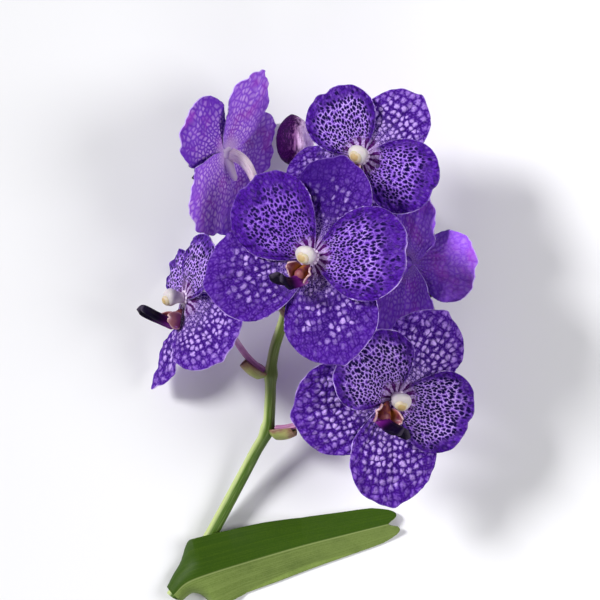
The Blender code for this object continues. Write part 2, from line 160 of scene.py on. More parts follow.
def store(geometry, name, value, kind="FLOAT", domain="POINT"):
    return addNode(geometry.tree, "GeometryNodeStoreNamedAttribute",
                   {"Geometry": geometry, "Name": name, "Value": value}, data_type=kind, domain=domain)


def closeTree(geometry, finish):
    tree = geometry.tree
    for step in ("SetShadeSmooth", "RealizeInstances", "SetMaterial"):
        geometry = addNode(tree, "GeometryNode" + step, {"Geometry": geometry})
    plug(geometry.socket.node.inputs["Material"], finish)
    plug(tree.nodes.new("NodeGroupOutput").inputs[0], geometry)


def runTree(name, tree, values, source=None):
    # applies a tree to a new object, or to the source, and returns the plain mesh object
    piece = source or addObject(name, bpy.data.meshes.new(name))
    step = piece.modifiers.new("shape", "NODES")
    step.node_group = tree
    for item in tree.interface.items_tree:
        if item.item_type == "SOCKET" and item.in_out == "INPUT" and item.name in values:
            step[item.identifier] = values[item.name]
    return settle(name, piece)


def settle(name, piece):
    # the finished mesh in an object of its own, with no modifier left
    bpy.context.view_layer.update()
    graph = bpy.context.evaluated_depsgraph_get()
    mesh = bpy.data.meshes.new_from_object(piece.evaluated_get(graph))
    mesh.name = name
    bpy.data.objects.remove(piece)
    return addObject(name, mesh)


def smoothRoute(points, count):
    # equal steps along a smooth curve through the points
    p = np.array(points, float)
    p = np.vstack([2 * p[0] - p[1], p, 2 * p[-1] - p[-2]])
    fine = []
    for a, b, c, d in zip(p, p[1:], p[2:], p[3:]):
        for t in np.linspace(0, 1, 16, endpoint=False):
            fine.append(0.5 * (2 * b + (c - a) * t + (2 * a - 5 * b + 4 * c - d) * t ** 2
                               + (3 * b - a - 3 * c + d) * t ** 3))
    fine = np.array(fine + [p[-2]])
    run = np.concatenate([[0], np.cumsum(np.linalg.norm(np.diff(fine[:, :3], axis=0), axis=1))])
    return spotsOn(fine, np.linspace(0, run[-1], count), run)


def spotsOn(route, reach, run=None):
    # the route's values at a reach, or at many, counted in its steps or along the run given
    run = range(len(route)) if run is None else run
    return np.stack([np.interp(reach, run, route[:, k]) for k in range(route.shape[1])], axis=-1)


def moveMesh(piece, matrix, lowest=0.0):
    piece.data.transform(matrix)
    for vertex in piece.data.vertices:
        vertex.co.z = max(vertex.co.z, lowest)
    return piece


def giveWall(piece, thickness, finishes):
    # front, back and rim finishes on a blade that gets its thickness
    for finish in finishes[len(piece.data.materials):]:
        piece.data.materials.append(finish)
    wall = piece.modifiers.new("wall", "SOLIDIFY")
    wall.thickness = thickness * mm
    wall.offset = 0.0
    wall.material_offset = 1
    wall.material_offset_rim = 2
    return settle(piece.name, piece)


def joinPieces(name, pieces):
    with bpy.context.temp_override(active_object=pieces[0], object=pieces[0],
                                   selected_objects=pieces, selected_editable_objects=pieces):
        bpy.ops.object.join()
    pieces[0].name = name
    pieces[0].data.name = name
    return pieces[0]


def meshPiece(name, work, finish):
    for face in work.faces:
        face.smooth = True
    mesh = bpy.data.meshes.new(name)
    work.to_mesh(mesh)
    work.free()
    mesh.materials.append(finish)
    return addObject(name, mesh)


def gridMesh(name, columns, rows, place, finish):
    # a grid whose points go where place(across, along) says, in mm, with across and along as its map
    work = bmesh.new()
    uv = work.loops.layers.uv.new("bladeShare")
    corners = [[work.verts.new(Vector(place(i / columns, j / rows)) * mm) for i in range(columns + 1)]
               for j in range(rows + 1)]
    for j in range(rows):
        for i in range(columns):
            ring = [(i, j), (i + 1, j), (i + 1, j + 1), (i, j + 1)]
            face = work.faces.new([corners[b][a] for a, b in ring])
            for loop, (a, b) in zip(face.loops, ring):
                loop[uv].uv = (a / columns, b / rows)
    return meshPiece(name, work, finish)


ringMapSize = 40.0


def ringBody(name, route, sides, finish, shape=None):
    # a closed body of rings square to a route of (x, y, z, radius) points, in mm; its map holds
    # the place seen from the front in x and y, and its second map the share of the way along
    centres = np.array([p[:3] for p in route], float)
    ahead = np.gradient(centres, axis=0)
    ahead /= np.linalg.norm(ahead, axis=1, keepdims=True)
    side = np.cross(ahead[0], (0.0, 1.0, 0.0))
    if np.linalg.norm(side) < 0.1:
        side = np.cross(ahead[0], (1.0, 0.0, 0.0))
    work = bmesh.new()
    facePlace = work.loops.layers.uv.new("facePlace")
    alongPlace = work.loops.layers.uv.new("alongPlace")
    marks = {}

    def corner(spot, share):
        made = work.verts.new(Vector(spot) * mm)
        marks[made] = (spot, share)
        return made

    rings = []
    for k, (centre, way) in enumerate(zip(centres, ahead)):
        side = side - way * side.dot(way)
        side /= np.linalg.norm(side)
        up = np.cross(way, side)
        share = k / (len(route) - 1)
        ring = []
        for i in range(sides):
            turn = 2 * pi * i / sides
            radius = route[k][3] * (shape(turn, share) if shape else 1.0)
            ring.append(corner(centre + radius * (cos(turn) * side + sin(turn) * up), share))
        rings.append(ring)
    for ring, after in zip(rings, rings[1:]):
        for i in range(sides):
            j = (i + 1) % sides
            work.faces.new([ring[i], ring[j], after[j], after[i]])
    for ring, centre, share in ((rings[0][::-1], centres[0], 0.0), (rings[-1], centres[-1], 1.0)):
        pole = corner(centre, share)
        for i in range(sides):
            work.faces.new([ring[i], ring[(i + 1) % sides], pole])
    for face in work.faces:
        for loop in face.loops:
            spot, share = marks[loop.vert]
            loop[facePlace].uv = (spot[0] / ringMapSize + 0.5, spot[1] / ringMapSize + 0.5)
            loop[alongPlace].uv = (spot[2] / ringMapSize + 0.5, share)
    bmesh.ops.recalc_face_normals(work, faces=work.faces)
    return meshPiece(name, work, finish)


def finishPiece(piece, slot, *nodes):
    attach(piece, "root")
    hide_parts(*nodes)


class Skin:
    # a finish whose colour is built up in layers
    def __init__(self, name, roughness, coat=0.0, subsurface=0.0, specular=0.5):
        self.finish = bpy.data.materials.new(name)
        self.finish.use_nodes = True
        self.tree = self.finish.node_tree
        self.sockets = self.tree.nodes["Principled BSDF"].inputs
        looks = {"Roughness": roughness, "Coat Weight": coat, "Coat Roughness": 0.35,
                 "Specular IOR Level": specular, "Subsurface Weight": subsurface,
                 "Subsurface Radius": (0.6, 0.3, 0.9), "Subsurface Scale": 0.0012}
        for socket, value in looks.items():
            self.sockets[socket].default_value = value

    def place(self, name):
        # the two coordinates of one of the piece's own maps
        return split(addNode(self.tree, "ShaderNodeUVMap", uv_map=name))[:2]

    def blade(self):
        # how far to the side, from -1 to 1, and how far along, from 0 to 1
        across, along = self.place("bladeShare")
        return across.sway(2.0), along

    def field(self, name):
        return addNode(self.tree, "ShaderNodeAttribute", out="Fac", attribute_name=name)

    def grain(self, scale, detail=2.0):
        return noise(self.spot(), scale, detail)

    def spot(self):
        return addNode(self.tree, "ShaderNodeTexCoord", out="Object")

    def layer(self, share, tone):
        self.colour = blend(share, self.colour, tone)

    def close(self, height=None, depth=0.0, strength=0.0):
        plug(self.sockets["Base Color"], self.colour)
        if height:
            plug(self.sockets["Normal"], addNode(self.tree, "ShaderNodeBump", {
                "Height": height, "Distance": depth, "Strength": strength}))
        return self.finish


tepalTones = {
    "spot": (0.006, 0.0, 0.058),
    "deep": (0.024, 0.001, 0.14),
    "violet": (0.072, 0.009, 0.30),
    "margin": (0.090, 0.011, 0.38),
    "lilac": (0.38, 0.175, 0.80),
    "pale": (0.60, 0.40, 0.93),
    "throat": (0.62, 0.42, 0.80),
    "throatStripe": (0.075, 0.002, 0.12),
    "back": (0.32, 0.10, 0.80),
    "backDeep": (0.15, 0.030, 0.52),
    "backPale": (0.70, 0.43, 0.97),
    "backPink": (0.48, 0.075, 0.66),
    # a pale tone painted along the tepals' edges as a highlight, where the thin edge catches the light
    "rimHighlight": (0.44, 0.25, 0.80),
}


def colourOf(tone):
    # a wire as it is, or a socket's value for (r, g, b) or for a name among the tepals' tones
    tone = tepalTones[tone] if isinstance(tone, str) else tone
    return (*tone, 1.0) if isinstance(tone, tuple) else tone


def blend(share, first, second):
    return addNode(share.tree, "ShaderNodeMix", {"Factor": share, 6: colourOf(first), 7: colourOf(second)},
                   out=2, data_type="RGBA")


bladeMapSize = 100.0


def bladeFields(skin):
    # places on the blade in mm, its shares, its seed and its paleness, which is partly the tepal's own tone
    # and partly painted light and shade
    u, v = skin.place("flatPlace")
    return (u.sway(bladeMapSize), v * bladeMapSize, *skin.blade(), skin.field("seed"), skin.field("paleness"))


def fanPlace(x, y, seed, stretch, warp, warpScale):
    # veins spread from the claw, and cells grow with the distance from it
    far = (x * x + y * y).calc("SQRT").high(0.5)
    turn = x.calc("ARCTAN2", y + 2.0)
    root = far.calc("SQRT")
    place = point(root * (turn * 0.5).sin() + seed * 3.7, root * (turn * 0.5).cos() * stretch + seed * 1.9)
    return warped(place, warp, warpScale), far, turn


def voronoi(place, scale, randomness, feature, out=0):
    wires = {"Vector": place, "Scale": scale, "Randomness": randomness}
    return addNode(place.tree, "ShaderNodeTexVoronoi", wires, out, feature=feature, voronoi_dimensions="2D")


def cellEdge(place, scale, randomness):
    return voronoi(place, scale, randomness, "DISTANCE_TO_EDGE")


def cells(place, scale, randomness):
    # the distances from a cell's edge and from its middle, and two values that stay the same all over it
    pick, pickTwo, _ = split(voronoi(place, scale, randomness, "F1", out="Color"))
    return cellEdge(place, scale, randomness), voronoi(place, scale, randomness, "F1"), pick, pickTwo


def warped(place, amount, scale):
    tree = place.tree
    shift = addNode(tree, "ShaderNodeTexNoise", {"Vector": place, "Scale": scale, "Detail": 1.0}, out="Color")
    shift = addNode(tree, "ShaderNodeVectorMath", {0: shift, 1: (0.5, 0.5, 0.5)}, operation="SUBTRACT")
    return addNode(tree, "ShaderNodeVectorMath", {0: shift, 1: (amount, amount, 0.0), 2: place},
                   operation="MULTIPLY_ADD")


def addThroat(skin, far, turn, seed, reach):
    # fine pale and dark magenta stripes that run from the throat out into the veins
    wavy = noise(point(turn * 4.0, far * 0.25, seed))
    stripe = ((turn + wavy.sway(0.35)) * 14.0).sin()
    skin.layer(stripe.fall(-0.3, 0.5) * far.fall(reach * 0.6, reach * 1.5) * 0.85, "throat")
    skin.layer(stripe.ramp(-0.25, 0.5) * far.ramp(reach * 0.9, reach * 1.5, 0.95, 0.0), "throatStripe")


def petalFinish():
    # close near-black spots in a lilac net, fading to a plainer violet margin; the pale thin line along the
    # edge is a painted highlight
    skin = Skin("petalFace", 0.6, specular=0.08)
    x, y, side, along, seed, paleness = bladeFields(skin)
    place, far, turn = fanPlace(x, y, seed, 0.60, 0.14, 3.6)
    patch = grain(x, y, seed, 7.0, 7.0)
    fine = grain(x, y, seed, 0.8, 1.3, 3.0)
    middle = side.abs().fall(0.45, 1.2) * along.fall(0.5, 1.2)
    # paleness, partly painted light and shade, widens or narrows the pale net here and below
    middle = (middle + (patch - 0.5) + paleness * 0.15).ramp(-0.05, 1.2)
    edge, dots, pick, pickTwo = cells(place, 6.8, 0.95)
    vein = cellEdge(place, 2.4, 0.7)
    ground = blend((fine * 1.2 + patch * 0.4 - 0.3).ramp(0.2, 0.8), "deep", "margin")
    mottle = (dots + fine.sway(0.4)).fall(0.08, 0.5)
    ground = blend(mottle * (pick + patch - 0.6 + paleness * 0.2).ramp(0.0, 0.9) * 0.40, ground, "lilac")
    ground = blend(vein.fall(0.0, 0.10) * fine * 0.5, ground, "deep")
    lit = blend((fine * 1.5 - 0.35 + paleness * 0.15).ramp(0.0, 0.9) * 0.6, "margin", "lilac")
    thread = (edge + fine.sway(0.18)).fall(0.03, 0.20)
    lit = blend(thread * (middle * 0.6 + 0.25 + paleness * 0.1), lit, "lilac")
    bright = thread * middle * (pickTwo * 0.6 + patch + 0.1 + paleness * 0.6)
    lit = blend(bright.ramp(0.3, 1.1) * 0.9, lit, "pale")
    skin.colour = blend(middle.ramp(0.1, 0.85), ground, lit)
    spot = (dots + fine.sway(0.34) - pick * 0.16).fall(0.18, 0.44)
    skin.layer(spot * (middle * 1.7 + 0.08 + (pickTwo - 0.6) * 0.7).ramp(0.0, 1.0), "spot")
    addThroat(skin, far, turn, seed, 7.2)
    # painted highlight: a pale line along the outline, as the thin edge catching the light
    skin.layer(side.abs().high(along).ramp(0.98, 1.0) * 0.35, "rimHighlight")
    ribs = (turn * 46.0).sin() * side.abs().ramp(0.3, 0.9) * 0.4
    return skin.close(fine * 0.4 + edge * 0.7 + vein * 1.2 + ribs, 0.0014, 0.9)


def sepalFinish():
    # rows of soft pale cells on dark violet, between veins that fan out from the throat
    skin = Skin("sepalFace", 0.6, specular=0.08)
    x, y, side, along, seed, paleness = bladeFields(skin)
    place, far, turn = fanPlace(x, y, seed, 0.85, 0.20, 2.6)
    patch = grain(x, y, seed, 8.0, 8.0)
    dapple = grain(x, y, seed + 4.0, 1.7, 1.7)
    fine = grain(x, y, seed, 0.8, 0.8, 3.0)
    inner = side.abs().fall(0.5, 1.0) * along.fall(0.6, 1.0)
    edge, blobs, pick, pickTwo = cells(place, 3.5, 0.66)
    small = cellEdge(place, 7.4, 0.85)
    skin.colour = blend((fine * 1.2 + patch * 0.6 - 0.4).ramp(0.2, 0.85), "deep", "violet")
    skin.layer((1.0 - inner) * 0.4, "margin")
    # paleness, partly painted light and shade, raises or lowers the pale cells here and below
    skin.layer((small + fine.sway(0.3)).ramp(0.1, 0.4) * (fine + paleness * 0.15 + 0.05) * 0.35, "lilac")
    soft = (blobs + fine.sway(0.25) + dapple.sway(0.6) - pickTwo.sway(0.16)).fall(0.08, 0.46)
    bright = pick * 0.7 + inner * 0.5 + patch.sway(1.1) + paleness.high(-0.8) * 0.45
    skin.layer(soft * (0.10 + paleness.high(0.0) * 0.35), "lilac")
    skin.layer(soft * bright.ramp(0.2, 1.15) * (inner * 0.8 + 0.2) * 1.1, "pale")
    net = (edge + fine.sway(0.08)).fall(0.0, 0.17)
    skin.layer(net * (0.35 + inner * 0.45) * (fine + 0.35), "deep")
    skin.layer(small.fall(0.0, 0.12) * (fine * 1.6 - 0.45).ramp(0.0, 0.7) * 0.6, "deep")
    near = far.fall(9.0, 24.0)
    skin.layer(near * small.fall(0.0, 0.18) * 0.6, "pale")
    skin.layer(near * small.ramp(0.14, 0.32) * 0.75, "deep")
    # painted shade: on tepals set dark (low paleness), one side of the outer part is darkened over the
    # pattern
    shade = (-paleness).ramp(0.3, 1.0) * along.ramp(0.25, 0.6) * (side + patch.sway(0.8)).ramp(-0.7, 0.6)
    skin.layer(shade * 0.7, "deep")
    addThroat(skin, far, turn, seed, 7.6)
    # painted highlight: a pale line along the outline, as the thin edge catching the light
    skin.layer(side.abs().high(along).ramp(0.985, 1.0) * 0.3, "rimHighlight")
    ribs = (turn * 40.0).sin() * side.abs().ramp(0.3, 0.9) * 0.35
    return skin.close(edge * 1.2 + fine * 0.3 + ribs, 0.0015, 0.95)


def backFinish():
    # the softer, pinker outside of a tepal, with pale cells in rows between faint veins
    skin = Skin("tepalBack", 0.55, specular=0.12)
    x, y, side, along, seed, paleness = bladeFields(skin)
    netting = skin.field("netting")
    place, far, turn = fanPlace(x, y, seed + 5.0, 0.7, 0.16, 2.4)
    edge, _, pick, _ = cells(place, 4.3, 0.7)
    fine = grain(x, y, seed, 0.7, 1.6)
    patch = grain(x, y, seed + 2.0, 12.0, 12.0)
    # paleness, partly painted light and shade, makes the back lighter or darker here and below
    skin.colour = blend((patch + paleness * 0.3).ramp(0.3, 0.7), "backDeep", "back")
    skin.layer((1.0 - patch).ramp(0.45, 0.7) * side.abs().ramp(0.2, 0.9, 0.6, 0.0), "backPink")
    soft = (edge + fine.sway(0.18)).ramp(0.06, 0.38)
    strength = (pick * 0.5 + 0.15 + patch.sway(1.2) + along.ramp(0.1, 0.7, 0.5, 0.0)).high(0.0)
    strength = (strength * (paleness * 0.25 + 1.0)).low(1.0) * netting
    skin.layer(soft * strength * side.abs().ramp(0.7, 1.0, 1.0, 0.3), "backPale")
    skin.layer(edge.fall(0.0, 0.10) * (fine * 0.5 + 0.1) * netting, "backDeep")
    veins = ((turn + fine.sway(0.05)) * 30.0).sin().ramp(0.2, 0.9) * far.ramp(8.0, 34.0, 0.6, 0.2)
    skin.layer(veins * (1.2 - netting) * 0.7, "backDeep")
    skin.layer(fine.ramp(0.5, 0.75) * (1.0 - netting) * 0.35, "backPale")
    skin.layer(far.ramp(2.0, 11.0, 0.85, 0.0) * netting, "throat")
    # painted highlight: a pale line along the outline, as the thin edge catching the light
    skin.layer(side.abs().high(along).ramp(0.98, 1.0) * 0.35, "rimHighlight")
    return skin.close(edge * 0.8 + fine * 0.4 + (turn * 40.0).sin() * 0.2, 0.0010, 0.6)


def throatFinish(name, ground, second):
    # the centre that the tepals stand on: pale with dark magenta rays, seen from the front
    skin = Skin(name, 0.5)
    x, y = [share.sway(ringMapSize) for share in skin.place("facePlace")]
    depth, _ = skin.place("alongPlace")
    turn = x.calc("ARCTAN2", y)
    far = (x * x + y * y).calc("SQRT")
    mottle = noise(point(x, y, depth * 20.0), 1.4)
    rays = (turn * 11.0 + mottle.sway(1.2)).sin().ramp(0.05, 0.6)
    skin.colour = blend(mottle, ground, second)
    skin.layer(rays * depth.ramp(0.49, 0.51) * far.ramp(2.6, 3.6) * 0.6, "throatStripe")
    return skin.close(mottle, 0.0004, 0.3)


def rimFinish():
    # painted highlight: the wall's cut edge is coloured pale, as a thin edge catching the light
    skin = Skin("tepalRim", 0.5)
    skin.colour = blend(skin.grain(500.0), "rimHighlight", (0.62, 0.48, 0.9))
    return skin.close()


petalFace = petalFinish()
sepalFace = sepalFinish()
tepalBack = backFinish()
tepalRim = rimFinish()
throat = throatFinish("throat", (0.66, 0.50, 0.76), (0.76, 0.64, 0.82))
throatDeep = throatFinish("throatDeep", (0.13, 0.03, 0.42), (0.22, 0.06, 0.56))
print("tepal finishes made")


bladeInputs = {
    "columns": 57, "rows": 65, "length": 50.0, "width": 42.0, "claw": 8.0, "widest": 0.56,
    "blunt": 2.0, "point": 0.0, "notch": 0.0, "lift": 0.0, "curl": 0.0, "angle": 90.0, "bend": 0.0,
    "cup": 0.0, "cupTip": 0.0, "keel": 0.0, "twist": 0.0, "ruffle": 1.2, "waves": 2.0, "phase": 0.0,
    "root": 1.5, "crease": 1.2, "unevenness": 2.2, "frill": 2.3, "ribs": 0.3, "wobble": 0.07, "seed": 0.0,
    "paleness": 0.0, "netting": 1.0,
}
sepalShape = {"point": 0.04, "cup": -10, "cupTip": 4}
petalShape = {"claw": 6, "widest": 0.55, "blunt": 2.2, "notch": 0.03, "curl": -14, "cup": 4, "cupTip": -8,
              "phase": 0.5}


def tepal(angle, length, width, lift, **more):
    return {"angle": angle, "length": length, "width": width, "lift": lift, **more}


# each bloom: its hub in mm, its turn about Y, X and Z, and its lip's and tepals' own shapes over the usual
# paleness, for a bloom and for a tepal, is partly the tepal's own tone and partly painted light and shade:
# tepals that lie in shade are set darker, and tepals that face away from the lamps or lie in another bloom's
# shadow are set paler
bloomPlans = {
    "front": {
        "hub": (2.6, 37.9, 87.0), "turn": (-22, 8, -22), "paleness": -0.4,
        "lip": {"size": 1.05, "move": (0.5, -0.3, 0.0), "swing": -6},
        "topSepal": tepal(97, 49, 44, -2, paleness=-0.6),
        "leftPetal": tepal(157, 49, 43, 18, curl=-22, paleness=-0.5),
        "rightPetal": tepal(24, 49, 46, 10, curl=-14),
        "leftSepal": tepal(217, 54, 47, 4),
        "rightSepal": tepal(311, 52, 49, -6),
    },
    "topRight": {
        "hub": (27.8, 88.6, 60.0), "turn": (-14, 6, -35), "paleness": 0.2,
        "lip": {"length": 0.8, "move": (0.0, 0.8, 0.0)},
        "topSepal": tepal(81, 40, 35, -4, paleness=0.9),
        "leftPetal": tepal(154, 37, 36, 13),
        "rightPetal": tepal(9, 41, 38, 13, paleness=-0.5),
        "leftSepal": tepal(243, 40, 35, 5),
        "rightSepal": tepal(315, 42, 24, -38),
    },
    "topLeft": {
        "hub": (-40.3, 91.7, 42.0), "turn": (-122, 15, 0), "paleness": 0.4,
        "lip": {"length": 0.6},
        "topSepal": tepal(98, 43, 33, -8),
        "leftPetal": tepal(172, 52, 38, 14),
        "rightPetal": tepal(21, 42, 37, 8, paleness=-1.0),
        "leftSepal": tepal(244, 44, 36, 0),
        "rightSepal": tepal(298, 43, 43, -10, paleness=2.0),
    },
    "left": {
        "hub": (-62.5, 18.0, 32.0), "turn": (-65, 5, 0), "paleness": 0.8,
        "lip": {"length": 0.92, "size": 1.1, "arch": 0.25, "move": (0.0, -2.8, -0.5), "raise": 31},
        "topSepal": tepal(82, 42, 34, -25, curl=-30),
        "leftPetal": tepal(145, 37, 24, -3, curl=-6, twist=8),
        "rightPetal": tepal(48, 38, 27, 4, twist=14),
        "leftSepal": tepal(240, 53, 20, -12, curl=30),
        "rightSepal": tepal(317, 43, 43, -14, twist=-35),
    },
    "lowRight": {
        "hub": (44.9, -31.6, 58.0), "turn": (18, -12, -22), "paleness": 0.55,
        "lip": {"length": 0.78, "size": 1.2, "arch": 0.6, "move": (-4.2, -0.6, 0.0), "raise": 14,
                "swing": 20},
        "topSepal": tepal(85, 47, 42, 3, paleness=0.7),
        "leftPetal": tepal(157, 42, 45, 17, keel=0.3),
        "rightPetal": tepal(4, 40, 43, 15),
        "leftSepal": tepal(214, 51, 50, -7),
        "rightSepal": tepal(290, 54, 46, 2, bend=10),
    },
    "backRight": {
        "hub": (51.7, 36.3, 40.0), "turn": (135, 0, 20), "paleness": 0.9,
        "topSepal": tepal(103, 42, 28, -18, netting=0.65, paleness=-0.6),
        "leftPetal": tepal(165, 44, 36, 8, netting=0.35, paleness=0.6),
        "rightPetal": tepal(18, 46, 38, 30, netting=0.35),
        "leftSepal": tepal(247, 46, 38, -7, netting=0.65, paleness=0.3),
        "rightSepal": tepal(305, 46, 36, 8, netting=0.45, paleness=0.4),
    },
}
solidNames = {"front": "front", "topRight": "top_right", "topLeft": "top_left", "left": "left",
              "lowRight": "low_right", "backRight": "back_right"}
footprintShift = (1.1, 5.7, 0.0)
tepalWall = 0.6


def bladeTree():
    # the rule every tepal follows: an outline, then its lift, curl, twist, cup, folds and ruffled edge
    tree, size = newTree("tepalBlade", bladeInputs, False)
    mesh = addNode(tree, "GeometryNodeMeshGrid", {
        "Size X": 1.0, "Size Y": 1.0, "Vertices X": size.columns, "Vertices Y": size.rows})
    gridX, gridY, _ = split(addNode(tree, "GeometryNodeInputPosition"))
    seed = size.seed
    across = (gridX * pi).sin()
    along = gridY + 0.5
    length = size.length
    tipNoise = noise(point(across * 2.4, 0.0, seed)) - 0.5
    sideNoise = noise(point(along * 4.5, across.calc("SIGN") * 3.0, seed + 9.0)) - 0.5
    widestAt = size.widest * length
    dome = (1.0 - across.abs() ** size.blunt).high(0.0) ** (size.blunt ** -1.0)
    end = widestAt + (length - widestAt) * dome
    end = end + length * size.point * across.bell(0.0, 0.16)
    end = end - length * size.notch * across.bell(0.0, 0.14)
    end = end * (1.0 + tipNoise * size.wobble)
    y = along * end
    rise = ((y / widestAt).low(1.0) * (pi / 2)).sin().high(0.0) ** 0.9
    half = size.claw * 0.5 + (size.width - size.claw) * 0.5 * rise
    half = half * (1.0 + sideNoise * size.wobble * along)
    x = across * half
    share = y / length

    flatPlace = point(x * (1 / bladeMapSize) + 0.5, y * (1 / bladeMapSize))
    mesh = store(mesh, "flatPlace", flatPlace, "FLOAT2", "CORNER")
    mesh = store(mesh, "bladeShare", point(across * 0.5 + 0.5, along), "FLOAT2", "CORNER")
    for name in ("seed", "paleness", "netting"):
        mesh = store(mesh, name, getattr(size, name))

    toTurn = pi / 180
    reach = size.width * 0.5
    edge = x.abs() / reach
    bendRate = size.curl * toTurn / length + 1e-4
    lift = size.lift * toTurn
    slope = lift + bendRate * y
    wayX = (slope.sin() - lift.sin()) / bendRate
    wayZ = (lift.cos() - slope.cos()) / bendRate
    cup = (size.cup + (size.cupTip - size.cup) * share) * toTurn / reach + 1e-5
    flat = (cup * x).sin() / cup
    high = (1.0 - (cup * x).cos()) / cup + size.keel * x.abs()
    wave = (size.waves * share + size.phase + x.ramp(-0.01, 0.01) * 0.3) * (2 * pi)
    high = high + size.ruffle * (edge ** 2.5) * wave.sin()
    outer = (edge ** 3.0).high(along ** 6.0)
    frill = grain(x, y, seed + 20.0, 6.0, 6.0, 1.0) - 0.5
    uneven = grain(x, y, seed + 30.0, 14.0, 14.0) - 0.5
    high = high + size.frill * 2.0 * frill * outer + size.unevenness * 2.0 * uneven * along
    ribs = (x.calc("ARCTAN2", y + 4.0) * (34.0 - 8.0 * along) + uneven * 6.0).sin()
    high = high + size.ribs * ribs * (edge ** 1.5).high(along ** 3.0) * share.ramp(0.2, 0.5)
    high = high - size.crease * x.bell(0.0, 1.6) * share.ramp(0.1, 0.3) * share.ramp(0.75, 1.0, 1.0, 0.2)
    twist = size.twist * toTurn * (share / 0.35).low(1.0)
    acrossUp = twist.sin() * flat + twist.cos() * high
    offX = -(slope.sin() * acrossUp)
    offY = twist.cos() * flat - twist.sin() * high
    offZ = slope.cos() * acrossUp
    bend = size.bend * toTurn * share
    halfBend = bend * 0.5
    outX = size.root * bend.cos() + wayX * halfBend.cos() + offX * bend.cos() - offY * bend.sin()
    outY = size.root * bend.sin() + wayX * halfBend.sin() + offX * bend.sin() + offY * bend.cos()
    turn = size.angle * toTurn
    place = point((outX * turn.cos() - outY * turn.sin()) * mm, (outX * turn.sin() + outY * turn.cos()) * mm,
                  (wayZ + offZ) * mm)
    mesh = addNode(tree, "GeometryNodeSetPosition", {"Geometry": mesh, "Position": place})
    closeTree(addNode(tree, "GeometryNodeFlipFaces", {"Mesh": mesh}), size.finish)
    return tree


def turned(degrees, axis):
    return Matrix.Rotation(radians(degrees), 4, axis)


def bloomMatrix(plan):
    yaw, pitch, roll = plan["turn"]
    place = (Vector(plan["hub"]) + Vector(footprintShift)) * mm
    return Matrix.Translation(place) @ turned(yaw, "Y") @ turned(-pitch, "X") @ turned(roll, "Z")


def addTepal(tree, name, plan, key, seed):
    isPetal = key.endswith("Petal")
    values = {**bladeInputs, **(petalShape if isPetal else sepalShape), **plan[key]}
    values["paleness"] += plan["paleness"]
    values = {k: type(bladeInputs[k])(v) for k, v in values.items()}
    face = petalFace if isPetal else sepalFace
    blade = runTree(name, tree, {**values, "seed": float(seed), "finish": face})
    moveMesh(blade, bloomMatrix(plan), tepalWall / 2 * mm)
    blade.data.materials.clear()
    blade.data.materials.append(face)
    return giveWall(blade, tepalWall, [face, tepalBack, tepalRim])


hubRoute = [(0, 0, -3.2, 2.6), (0, 0, -2.2, 2.75), (0, 0, -1.0, 3.2), (0, 0, 0.0, 4.0), (0, 0, 0.5, 4.3),
            (0, 0, 0.85, 4.0), (0, 0, 1.05, 3.2), (0, 0, 1.15, 2.2)]
spurRoute = [(0, -2.5, -0.8, 2.2), (0, -6.5, -3.8, 2.2), (0, -10.0, -6.6, 1.8), (0, -11.6, -8.2, 1.2),
             (0, -12.2, -8.8, 0.5)]


def addTepals(name, plan, tree, number):
    keys = ("topSepal", "leftSepal", "rightSepal", "leftPetal", "rightPetal")
    pieces = [addTepal(tree, name + key, plan, key, number * len(keys) + k) for k, key in enumerate(keys)]
    skin = throatDeep if name == "backRight" else throat
    for part, route, sides in (("hub", hubRoute, 32), ("spur", smoothRoute(spurRoute, 18), 20)):
        pieces.append(moveMesh(ringBody(part, route, sides, skin), bloomMatrix(plan)))
    return joinPieces(name + "Tepals", pieces)


blades = bladeTree()
for number, (name, plan) in enumerate(bloomPlans.items()):
    finishPiece(addTepals(name, plan, blades, number), "violet", solidNames[name] + "_bloom_tepals")
print("tepals made")


columnPlan = {
    "route": [(0, 0.2, 1.5, 3.2), (0, 0.1, 2.6, 3.1), (0, 0, 4.4, 3.5), (0, -0.1, 6.4, 4.4),
              (0, -0.3, 8.2, 4.9), (0, -0.5, 9.5, 4.5), (0, -0.7, 10.4, 3.3), (0, -0.8, 10.9, 1.5)],
    "cap": [(0, -1.5, 8.0, 1.8), (0, -1.8, 9.0, 2.9), (0, -2.1, 10.0, 3.1), (0, -2.4, 10.9, 2.6),
            (0, -2.7, 11.6, 1.6), (0, -2.8, 11.9, 0.6)],
}


def waxFinish(name, colour, second, deep, tip):
    skin = Skin(name, 0.5, coat=0.1, subsurface=0.2, specular=0.3)
    wide = skin.grain(260.0)
    fine = skin.grain(1600.0)
    _, along = skin.place("alongPlace")
    skin.colour = blend(wide.ramp(0.35, 0.7), colour, second)
    skin.layer(along.ramp(0.0, 0.35, 0.6, 0.0), deep)
    skin.layer((along + fine.sway(0.1)).ramp(0.80, 0.93) * 0.8, tip)
    return skin.close(wide + fine * 0.3, 0.0004, 0.6)


def columnShape(turn, share):
    # wider than deep, with shoulders beside the cap
    return 1.0 + 0.08 * cos(2 * turn) + 0.05 * cos(3 * turn) * share


def capShape(turn, share):
    return 1.0 + 0.10 * cos(2 * turn) - 0.16 * exp(-((turn - pi * 1.5) / 0.3) ** 2)


columnWax = waxFinish("columnWax", (0.48, 0.40, 0.47), (0.60, 0.54, 0.58), (0.46, 0.26, 0.52),
                      (0.58, 0.54, 0.53))
capWax = waxFinish("capWax", (0.58, 0.48, 0.33), (0.66, 0.57, 0.42), (0.40, 0.22, 0.07), (0.46, 0.30, 0.10))
for name, plan in bloomPlans.items():
    body = ringBody("column", smoothRoute(columnPlan["route"], 26), 32, columnWax, columnShape)
    cap = ringBody("cap", smoothRoute(columnPlan["cap"], 18), 28, capWax, capShape)
    column = joinPieces(name + "Column", [moveMesh(piece, bloomMatrix(plan)) for piece in (body, cap)])
    finishPiece(column, "column", solidNames[name] + "_bloom_column")
print("columns made")


